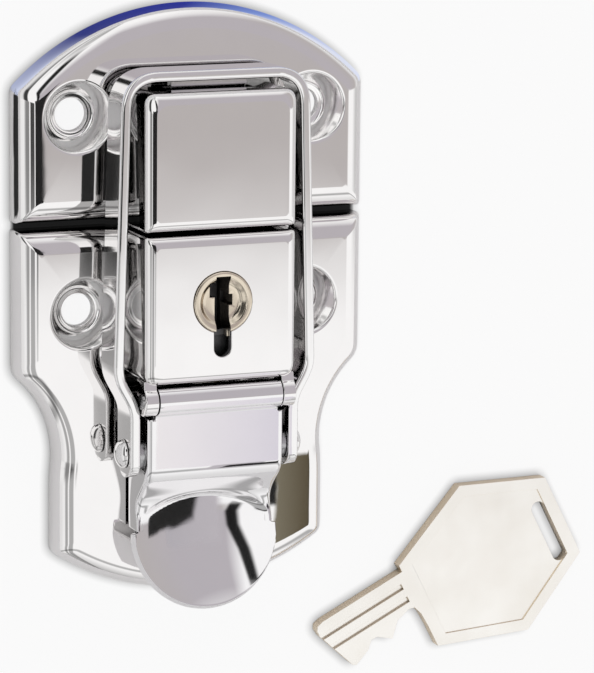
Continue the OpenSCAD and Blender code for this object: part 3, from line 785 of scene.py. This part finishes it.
def grow(name, points, edges, group, settings):
    """The plain mesh that a node group makes from a few points."""
    mesh = bpy.data.meshes.new(name)
    mesh.from_pydata([np.array(p) * MM for p in points], edges, [])
    piece = bpy.data.objects.new(name, mesh)
    modifier = piece.modifiers.new(name, "NODES")
    modifier.node_group = group
    inputs = [item for item in group.interface.items_tree if item.in_out == "INPUT"]
    identifiers = {item.name: item.identifier for item in inputs}
    for socket, value in settings.items():
        modifier[identifiers[socket]] = value
    return plain_mesh(piece)


def dress_and_leave(group, giver, entry, leave):
    """Ends a group: its geometry is made real and takes the finish."""
    real = group.nodes.new("GeometryNodeRealizeInstances")
    plated = group.nodes.new("GeometryNodeSetMaterial")
    wire(
        group, (giver, "Geometry", real, "Geometry"), (real, "Geometry", plated, "Geometry"),
        (entry, "Material", plated, "Material"), (plated, "Geometry", leave, "Geometry"))


def make_strip_group():
    group, entry, leave = node_group("strip_with_eyes", "NodeSocketFloat", {
        "Thickness": 0.0016, "Depth": 0.0065, "Edge Radius": 0.0004,
        "Eye Y": 0.0, "Eye Z": 0.0, "Eye Radius": 0.0036})
    new = group.nodes.new
    path = new("GeometryNodeMeshToCurve")
    upright = new("GeometryNodeSetCurveNormal")
    upright.mode = "Z_UP"
    section = new("GeometryNodeCurvePrimitiveQuadrilateral")
    rounded = new("GeometryNodeFilletCurve")
    rounded.mode = "POLY"
    rounded.inputs["Count"].default_value = 4
    sweep = new("GeometryNodeCurveToMesh")
    sweep.inputs["Fill Caps"].default_value = True
    place = new("GeometryNodeInputPosition")
    split = new("ShaderNodeSeparateXYZ")
    wire(
        group, (entry, "Geometry", path, "Mesh"), (path, "Curve", upright, "Curve"),
        (entry, "Thickness", section, "Width"), (entry, "Depth", section, "Height"),
        (section, "Curve", rounded, "Curve"), (entry, "Edge Radius", rounded, "Radius"),
        (upright, "Curve", sweep, "Curve"), (rounded, "Curve", sweep, "Profile Curve"),
        (place, "Position", split, "Vector"))
    eye_radius = entry.outputs["Eye Radius"]
    from_eye = math_node(group, "SUBTRACT", split.outputs["Y"], entry.outputs["Eye Y"])
    past = math_node(group, "MINIMUM", from_eye, 0.0)
    eye_square = math_node(group, "MULTIPLY", eye_radius, eye_radius)
    chord = math_node(group, "SUBTRACT", eye_square, math_node(group, "MULTIPLY", past, past))
    half = math_node(group, "SQRT", math_node(group, "MAXIMUM", chord, 1e-9))
    half_depth = math_node(group, "MULTIPLY", entry.outputs["Depth"], 0.5)
    share = math_node(group, "DIVIDE", half, half_depth)
    lift = math_node(group, "SUBTRACT", split.outputs["Z"], entry.outputs["Eye Z"])
    share = math_node(group, "MINIMUM", share, 1.0)
    height = math_node(group, "MULTIPLY_ADD", lift, share, entry.outputs["Eye Z"])
    merge = new("ShaderNodeCombineXYZ")
    feed(group, merge.inputs["Z"], height)
    move = new("GeometryNodeSetPosition")
    wire(
        group, (split, "X", merge, "X"), (split, "Y", merge, "Y"),
        (sweep, "Mesh", move, "Geometry"), (merge, "Vector", move, "Position"))
    dress_and_leave(group, move, entry, leave)
    return group


PIVOT = (-33.35, 10.55)
STRIP, STRIP_DEPTH, STRIP_EDGE, EYE_R, EYE_BORE = 1.6, 6.5, 0.5, 3.6, 1.56
BAR_Y, ARM_TOP_X, JOGGLE_X, ARM_LOW_X = 23.7, 14.1, 15.3, 12.7
JOGGLE_FROM, JOGGLE_LENGTH, ARM_BEND = -19.4, 8.55, 5.0
TONGUE_HALF, TONGUE_TIP, TONGUE_LOW, TONGUE_HIGH = 6, 20.4, 8.6, 10.2
arm = eased([(0, BAR_Y), (ARM_TOP_X, BAR_Y), (JOGGLE_X, JOGGLE_FROM)], ARM_BEND, steps=14)
for share in np.linspace(0, 1, 25)[1:]:
    x = JOGGLE_X + (ARM_LOW_X - JOGGLE_X) * smooth(share)
    arm.append(np.array((x, JOGGLE_FROM - JOGGLE_LENGTH * share)))
for turn in np.radians(np.linspace(0, 88, 20)):
    arm.append(np.array((ARM_LOW_X, PIVOT[0] - EYE_R * math.sin(turn))))
path = [(-x, y, PIVOT[1]) for x, y in arm[:0:-1]] + [(x, y, PIVOT[1]) for x, y in arm]
links = [(k, k + 1) for k in range(len(path) - 1)]
bail = grow("bail_piece", path, links, make_strip_group(), {
    "Thickness": STRIP * MM, "Depth": STRIP_DEPTH * MM, "Edge Radius": STRIP_EDGE * MM,
    "Eye Y": PIVOT[0] * MM, "Eye Z": PIVOT[1] * MM, "Eye Radius": EYE_R * MM,
    "Material": finishes["bail_nickel"]})
print("bail spans", [round(d / MM, 2) for d in bail.dimensions])
tongue = prism("tongue", band(TONGUE_HALF, TONGUE_TIP, BAR_Y), TONGUE_LOW, TONGUE_HIGH)
bail = join("bail_piece", bail, tongue)
eye_bore = prism("eye_bore", arc(PIVOT, EYE_BORE, 0, 352.5, 47), -20, 20, "yzx")
bail = carve(bail, eye_bore)
bail.data.shade_smooth()
bail = ease(bail, 0.1, segments=2, angle=50)
put(bail, ["bail"], "bail_frame", "bail_nickel")

# %% [markdown]
# ## The rivets
# The two rivets that pin the bail to the lever are the same turned shape. One is drawn, and a node
# group sets a copy on each side with its head outwards.

# %% Set the rivets
SHANK_R, FOOT_R, FOOT_LOW, FOOT_HIGH = 1.5, 2.0, 8.9, 9.8
HEAD_R, UNDER_HEAD_R, HEAD_LOW, HEAD_RISE = 2.2, 2.05, 13.6, 1.3


def make_rivet():
    """A rivet along Z: its closed foot, its shank and its domed head."""
    shape = bmesh.new()
    foot = [(0.2, FOOT_LOW), (FOOT_R, FOOT_LOW), (FOOT_R, FOOT_HIGH), (SHANK_R, FOOT_HIGH)]
    under_head = [(SHANK_R, HEAD_LOW), (UNDER_HEAD_R, HEAD_LOW)]
    turns = np.radians(np.linspace(0, 86, 16))
    head = [(HEAD_R * math.cos(t), HEAD_LOW + HEAD_RISE * math.sin(t)) for t in turns]
    rings = lathe(shape, foot + under_head + head, segments=64)
    shape.faces.new(rings[0][::-1])
    shape.faces.new(rings[-1])
    return mesh_from(shape, "rivet")


def make_rivet_group():
    group, entry, leave = node_group("rivet_on_each_side", "NodeSocketObject", {"Rivet": None})
    new = group.nodes.new
    source = new("GeometryNodeObjectInfo")
    place = new("GeometryNodeInputPosition")
    split = new("ShaderNodeSeparateXYZ")
    turn = new("ShaderNodeCombineXYZ")
    spread = new("GeometryNodeInstanceOnPoints")
    centre = new("GeometryNodeSetPosition")
    flat = new("ShaderNodeCombineXYZ")
    side = math_node(group, "SIGN", split.outputs["X"])
    feed(group, turn.inputs["Y"], math_node(group, "MULTIPLY", side, math.pi / 2))
    wire(
        group, (entry, "Rivet", source, "Object"), (place, "Position", split, "Vector"),
        (split, "Y", flat, "Y"), (split, "Z", flat, "Z"),
        (entry, "Geometry", spread, "Points"), (source, "Geometry", spread, "Instance"),
        (turn, "Vector", spread, "Rotation"), (spread, "Instances", centre, "Geometry"),
        (flat, "Vector", centre, "Position"))
    dress_and_leave(group, centre, entry, leave)
    return group


rivet = make_rivet()
scene.collection.objects.link(rivet)
rivets = grow("bail_rivets_piece", [(-1, *PIVOT), (1, *PIVOT)], [], make_rivet_group(),
              {"Rivet": rivet, "Material": finishes["bail_nickel"]})
bpy.data.objects.remove(rivet)
print("rivets span", [round(d / MM, 2) for d in rivets.dimensions])
put(ease(rivets, 0), ["bail_rivet_left", "bail_rivet_right"], "lever_arm", "bail_nickel")

# %% [markdown]
# ## The lock plug
# The plug is turned brass with a thin nickel coat: a bright rim round a dished face, and a stepped
# keyway that runs out at the foot, where it meets the slot in the case.

# %% Turn the plug
PLUG_CORE, DISH_R, DISH_Z = 0.4, 2.9, 15.95
RIM_INNER, RIM_OUTER = (3.75, 16.75), (PLUG_R, 16.8)
COLLAR_R, COLLAR_TOP, COLLAR_FOOT, PLUG_FOOT = 5.6, 15.2, 13.93, 12.23
shape = bmesh.new()
face = eased(
    [(PLUG_CORE, DISH_Z), (DISH_R, DISH_Z), RIM_INNER, RIM_OUTER, (PLUG_R, COLLAR_TOP)],
    [0.5, 0.25, 0.3])
body = [
    (COLLAR_R, COLLAR_TOP), (COLLAR_R, COLLAR_FOOT), (PLUG_R, COLLAR_FOOT), (PLUG_R, PLUG_FOOT),
    (PLUG_CORE, PLUG_FOOT)]
rings = lathe(shape, face + body, (0, PLUG_Y), segments=120)
shape.faces.new(rings[0])
shape.faces.new(rings[-1][::-1])
plug = mesh_from(shape, "lock_plug_piece")
keyway = [
    (-1.15, -5.8), (1.15, -5.8), (1.15, -0.6), (1.7, -0.6), (1.7, 1.1), (1.15, 1.1),
    (1.15, 3.9), (-1.15, 3.9), (-1.15, 2.9), (-1.95, 2.9), (-1.95, 0.7), (-1.15, 0.7),
]
plug = carve(plug, prism("keyway", [(x, y + PLUG_Y) for x, y in keyway], 11.0, 18.0))
put(ease(plug, 0.1, segments=2), ["lock_plug"], "plug", "plug_brass")

# %% [markdown]
# ## The key
# The key is a flat blank with a raised border round its six-sided bow. Its CAD mesh is already the
# right shape, so a copy of it is merged and its edges are rounded, as tumbling leaves them.

# %% Round the key's edges
KEY_WELD, KEY_FLAT, KEY_SIDE_LEAN = 2e-6, 0.5, 0.5


def merged_copy(node, name):
    mesh = nodes[node].data.copy()
    shape = bmesh.new()
    shape.from_mesh(mesh)
    bmesh.ops.remove_doubles(shape, verts=shape.verts, dist=KEY_WELD)
    bmesh.ops.dissolve_limit(
        shape, angle_limit=math.radians(KEY_FLAT), verts=shape.verts, edges=shape.edges)
    shape.to_mesh(mesh)
    shape.free()
    if "custom_normal" in mesh.attributes:
        mesh.attributes.remove(mesh.attributes["custom_normal"])
    mesh.shade_smooth()
    return bpy.data.objects.new(name, mesh)


key = merged_copy("key", "key_piece")
dress(key, "key_nickel", "key_edge")
for face in key.data.polygons:
    face.material_index = int(abs(face.normal.z) < KEY_SIDE_LEAN)
key = ease(key, 0.25, angle=30, edge_slot=1)
put(key, ["key"], "loose_key", "key_nickel", dressed=True)

# %% [markdown]
# ## Works inside the lock
# The frame, bolt, guide and cam show only through the keyhole and when the lever is open. They keep
# their CAD meshes. A dark oiled steel makes the keyhole look black, and the pin and the washers are
# a lighter steel.

# %% Finish the works
WORKS = (
    "lock_frame", "frame_rivets", "bolt_guide", "plug_spring_washer", "drive_cam", "lock_bolt",
    "bolt_keeper")
PINS = ("lever_hinge_pin", "bail_washer_left", "bail_washer_right")
for names, steel in ((WORKS, "works_steel"), (PINS, "pin_steel")):
    for node in names:
        dress(nodes[node], steel)
    print(steel, "on", ", ".join(names))

# %% [markdown]
# ## Floor and cards
# The latch lies on a plain white sweep, which also shows through the screw holes; close round the
# latch the sweep is painted grey, a painted shadow. Mirror metal is drawn by what it reflects. So,
# as on a photographer's table, small cards lie round the latch and hang near it, out of the
# camera's sight. Each one is mirrored by one piece: the blue one by the arched rim, the dark ones by
# the spoon and the rims. One black card, in the seam between the plates, is in the camera's sight:
# it is painted shade in the gap.

# %% Lay the floor and the cards
FLOOR_HALF, FLOOR_DROP, FLOOR_SHADOW = 1500, 0.1, 1.5
FLOOR_WHITE, FLOOR_GLOW = 0.98, 0.88
HOLE_SHEET, HOLE_DROP = 2.8, 0.05
PAPER_ROUGHNESS = 0.9
TORN_NOISE, TORN_DEPTH, TORN_FROM, TORN_TO = 160.0, 2.0, -1.0, -0.3


def make_sheet(name, corners, height, material):
    """A flat sheet of the stage, given by two corners in millimetres."""
    mesh = bpy.data.meshes.new(name)
    (x0, y0), (x1, y1) = corners
    around = [(x0, y0), (x1, y0), (x1, y1), (x0, y1)]
    mesh.from_pydata([(x * MM, y * MM, height * MM) for x, y in around], [], [(0, 1, 2, 3)])
    mesh.materials.append(material)
    sheet = bpy.data.objects.new(name, mesh)
    scene.collection.objects.link(sheet)
    return sheet


def square(x, y, half):
    return (x - half, y - half), (x + half, y + half)


def make_floor_paper(name, shadow_reach):
    """White paper to the camera, grey as painted shadow within the reach of what lies on it."""
    material, tree, shader, new = new_material(name)
    white = (FLOOR_WHITE, FLOOR_WHITE, FLOOR_WHITE, 1)
    set_inputs(shader, {"Base Color": white, "Roughness": PAPER_ROUGHNESS})
    glow = new("ShaderNodeEmission")
    set_inputs(glow, {"Strength": 1.0, "Color": (1, 1, 1, 1)})
    if shadow_reach:
        # Painted shadow: the paper's glow darkens within the reach of what lies on it
        near = new("ShaderNodeAmbientOcclusion")
        set_inputs(near, {"Distance": shadow_reach * MM})
        wire(tree, (near, "Color", glow, "Color"))
    path = new("ShaderNodeLightPath")
    blend = new("ShaderNodeMixShader")
    seen = math_node(tree, "MULTIPLY", path.outputs["Is Camera Ray"], FLOOR_GLOW)
    tree.links.new(seen, blend.inputs["Fac"])
    wire(
        tree, (shader, "BSDF", blend, 1), (glow, "Emission", blend, 2),
        (blend, "Shader", tree.nodes["Material Output"], "Surface"))
    return material


def ramp(tree, socket, stops):
    """A colour ramp with its stops at the given places, each a colour or a grey."""
    node = tree.nodes.new("ShaderNodeValToRGB")
    line = node.color_ramp
    while len(line.elements) < len(stops):
        line.elements.new(0.5)
    for element, (place, tone) in zip(line.elements, stops):
        element.position = place
        element.color = (*tone, 1) if isinstance(tone, tuple) else (tone, tone, tone, 1)
    tree.links.new(socket, node.inputs["Fac"])
    return node.outputs["Color"]


def make_card_paper(name, corners, tones):
    """Card whose tone runs along X and whose edge is torn and soft, all on Object coordinates."""
    material, tree, shader, new = new_material(name)
    set_inputs(shader, {
        "Base Color": (0, 0, 0, 1), "Roughness": PAPER_ROUGHNESS, "Emission Strength": 1.0})
    coords = new("ShaderNodeTexCoord")
    split = new("ShaderNodeSeparateXYZ")
    (x0, y0), (x1, y1) = [[c * MM for c in corner] for corner in corners]
    along = math_node(tree, "MULTIPLY_ADD", split.outputs["X"], 1 / (x1 - x0), -x0 / (x1 - x0))
    tree.links.new(ramp(tree, along, tones), shader.inputs["Emission Color"])
    torn = new("ShaderNodeTexNoise")
    set_inputs(torn, {"Scale": TORN_NOISE})
    wire(tree, (coords, "Object", split, "Vector"), (coords, "Object", torn, "Vector"))
    inside = None
    for axis, low, high in (("X", x0, x1), ("Y", y0, y1)):
        away = math_node(tree, "SUBTRACT", split.outputs[axis], (low + high) / 2)
        away = math_node(tree, "ABSOLUTE", away)
        reach = math_node(tree, "SUBTRACT", (high - low) / 2, away)
        inside = math_node(tree, "MINIMUM", inside, reach) if inside else reach
    edge = math_node(tree, "MULTIPLY_ADD", torn.outputs["Fac"], -TORN_DEPTH * MM, inside)
    mask = new("ShaderNodeMapRange")
    set_inputs(mask, {"From Min": TORN_FROM * MM, "From Max": TORN_TO * MM})
    tree.links.new(edge, mask.inputs["Value"])
    wire(tree, (mask, "Result", shader, "Alpha"))
    return material


BLACK = ((0.0, 0.01), (1.0, 0.01))
LILAC = ((0.0, (0.52, 0.49, 0.52)), (1.0, (0.46, 0.44, 0.47)))
PALE = ((0.0, (0.9, 0.87, 0.88)), (1.0, (0.72, 0.69, 0.76)))
BLUE = (
    (0.1, (0.6, 0.66, 0.85)), (0.28, (0.03, 0.04, 0.22)), (0.5, (0.02, 0.03, 0.3)),
    (0.68, (0.2, 0.3, 0.7)), (0.85, (0.75, 0.8, 0.95)))
OLIVE = ((0.0, (0.2, 0.18, 0.13)), (0.5, (0.11, 0.09, 0.055)), (1.0, (0.07, 0.058, 0.034)))
white_sweep = make_floor_paper("white_sweep", FLOOR_SHADOW)
make_sheet("floor", square(0, 0, FLOOR_HALF), -FLOOR_DROP, white_sweep)
hole_paper = make_floor_paper("hole_paper", 0)
for x, y in CATCH_HOLES + BASE_HOLES:
    make_sheet("hole_paper", square(x, y, HOLE_SHEET), -HOLE_DROP, hole_paper)
CARDS = (
    ("blue_card", ((-40, 20.5), (40, 43)), 0.1, BLUE),
    ("left_card", ((-40, 1), (-29, 23)), 0.1, BLACK),
    ("rim_flag", ((-39, -10), (-6, 19)), 60, BLACK),
    ("dark_flag", ((8, -51.5), (23.5, -45.8)), 28, BLACK),
    ("lilac_flag", ((5, -54), (15, -43.5)), 28.2, LILAC),
    ("lever_flag", ((-8, -39.5), (14, -27)), 20, PALE),
    ("olive_flag", ((16.7, -54), (27.2, -39)), 14, OLIVE),
    # The seam card is seen by the camera: a black sheet under the gap between the plates, painted
    # shade
    ("seam_card", ((-28, -2.5), (28, 3.5)), 0.05, BLACK),
)
for name, corners, height, tones in CARDS:
    card = make_sheet(name, corners, height, make_card_paper(name, corners, tones))
    card.visible_camera = name == "seam_card"
    card.visible_diffuse = card.visible_shadow = False
print("floor, papers for the holes and", len(CARDS), "cards")

# %% [markdown]
# ## The tent
# All the light comes from a bright tent. Its colour depends only on the direction, so every face
# that leans the same way mirrors the same panel. The half behind the latch is shaded: a grey panel
# overhead and dark strips to its left give the bends their lines, and the front half stays white.
# Ramps across and along the tent are the simplest way to set these.


# %% Hang the tent
def make_world():
    world = bpy.data.worlds.new("tent")
    world.use_nodes = True
    scene.world = world
    tree = world.node_tree
    background = tree.nodes["Background"]
    coords = tree.nodes.new("ShaderNodeTexCoord")
    split = tree.nodes.new("ShaderNodeSeparateXYZ")
    wire(tree, (coords, "Generated", split, "Vector"))
    lean = math_node(tree, "ARCTAN2", split.outputs["X"], split.outputs["Z"])
    across = math_node(tree, "MULTIPLY_ADD", lean, 1 / math.pi, 0.5)
    rise = math_node(tree, "ARCSINE", split.outputs["Y"])
    along = math_node(tree, "MULTIPLY_ADD", rise, 1 / math.pi, 0.5)

    def panel(socket, *stops):
        """A ramp with its stops at angles from -90 to 90 degrees."""
        return ramp(tree, socket, [(0.5 + angle / 180, tone) for angle, tone in stops])

    grey = (0.5, 0.47, 0.465)
    lilac = (0.5, 0.47, 0.5)
    front = panel(
        across, (-80, 0.8), (-62, 0.95), (-56, 0.4), (-47, 0.4), (-43, 1.0), (-40, 0.95),
        (-37, 0.45), (-19, 0.45), (-15, 1.0), (90, 1.0))
    middle = panel(
        across, (-70, 0.9), (-60, 0.25), (-44, 0.25), (-42, 1.0), (-39, 1.0), (-36, 0.06),
        (-19, 0.06), (-16, 1.0), (-8, 1.0), (6, grey), (32, grey), (36, 1.0), (60, 1.0), (80, 0.6))
    back = panel(
        across, (-75, 0.8), (-65, 0.05), (-50, 0.05), (-45, 1.0), (-8, 1.0), (3, lilac),
        (40, lilac), (70, grey), (85, 0.8))
    sway = panel(
        along, (-18, 12 / 180), (-10, 3 / 180), (-5, 0.0), (4, 1 / 180), (20, 8 / 180),
        (45, 15 / 180))
    swayed = math_node(tree, "ADD", across, sway)
    strip = panel(swayed, (-7, 1.0), (-4, 0.02), (2, 0.02), (4, 1.0))
    slope = panel(
        along, (-85, 0.5), (-70, 0.75), (-52, 1.0), (-46, 0.45), (-42, 0.45), (-36, 1.0),
        (90, 1.0))

    def blend(kind, share, one, two):
        """The second colour over the first, by a number or a socket."""
        node = tree.nodes.new("ShaderNodeMix")
        node.data_type = "RGBA"
        node.blend_type = kind
        for name, value in (("Factor", share), ("A", one), ("B", two)):
            feed(tree, node.inputs[name], value)
        return node.outputs["Result"]

    to_middle = panel(along, (-11, 0.0), (-8.6, 1.0))
    to_back = panel(along, (-6.8, 0.0), (-5, 1.0))
    to_strip = panel(along, (-13, 0.0), (-9, 1.0), (40, 1.0), (55, 0.0))
    to_top = panel(along, (44, 0.0), (60, 0.7), (74, 1.0))
    panels = blend("MIX", to_back, blend("MIX", to_middle, front, middle), back)
    panels = blend("MIX", to_top, panels, front)
    panels = blend("MULTIPLY", to_strip, panels, strip)
    tree.links.new(blend("MULTIPLY", 1.0, panels, slope), background.inputs["Color"])
    set_inputs(background, {"Strength": 1.0})


make_world()
scene.view_settings.view_transform = "Standard"
print("lit by the", scene.world.name)
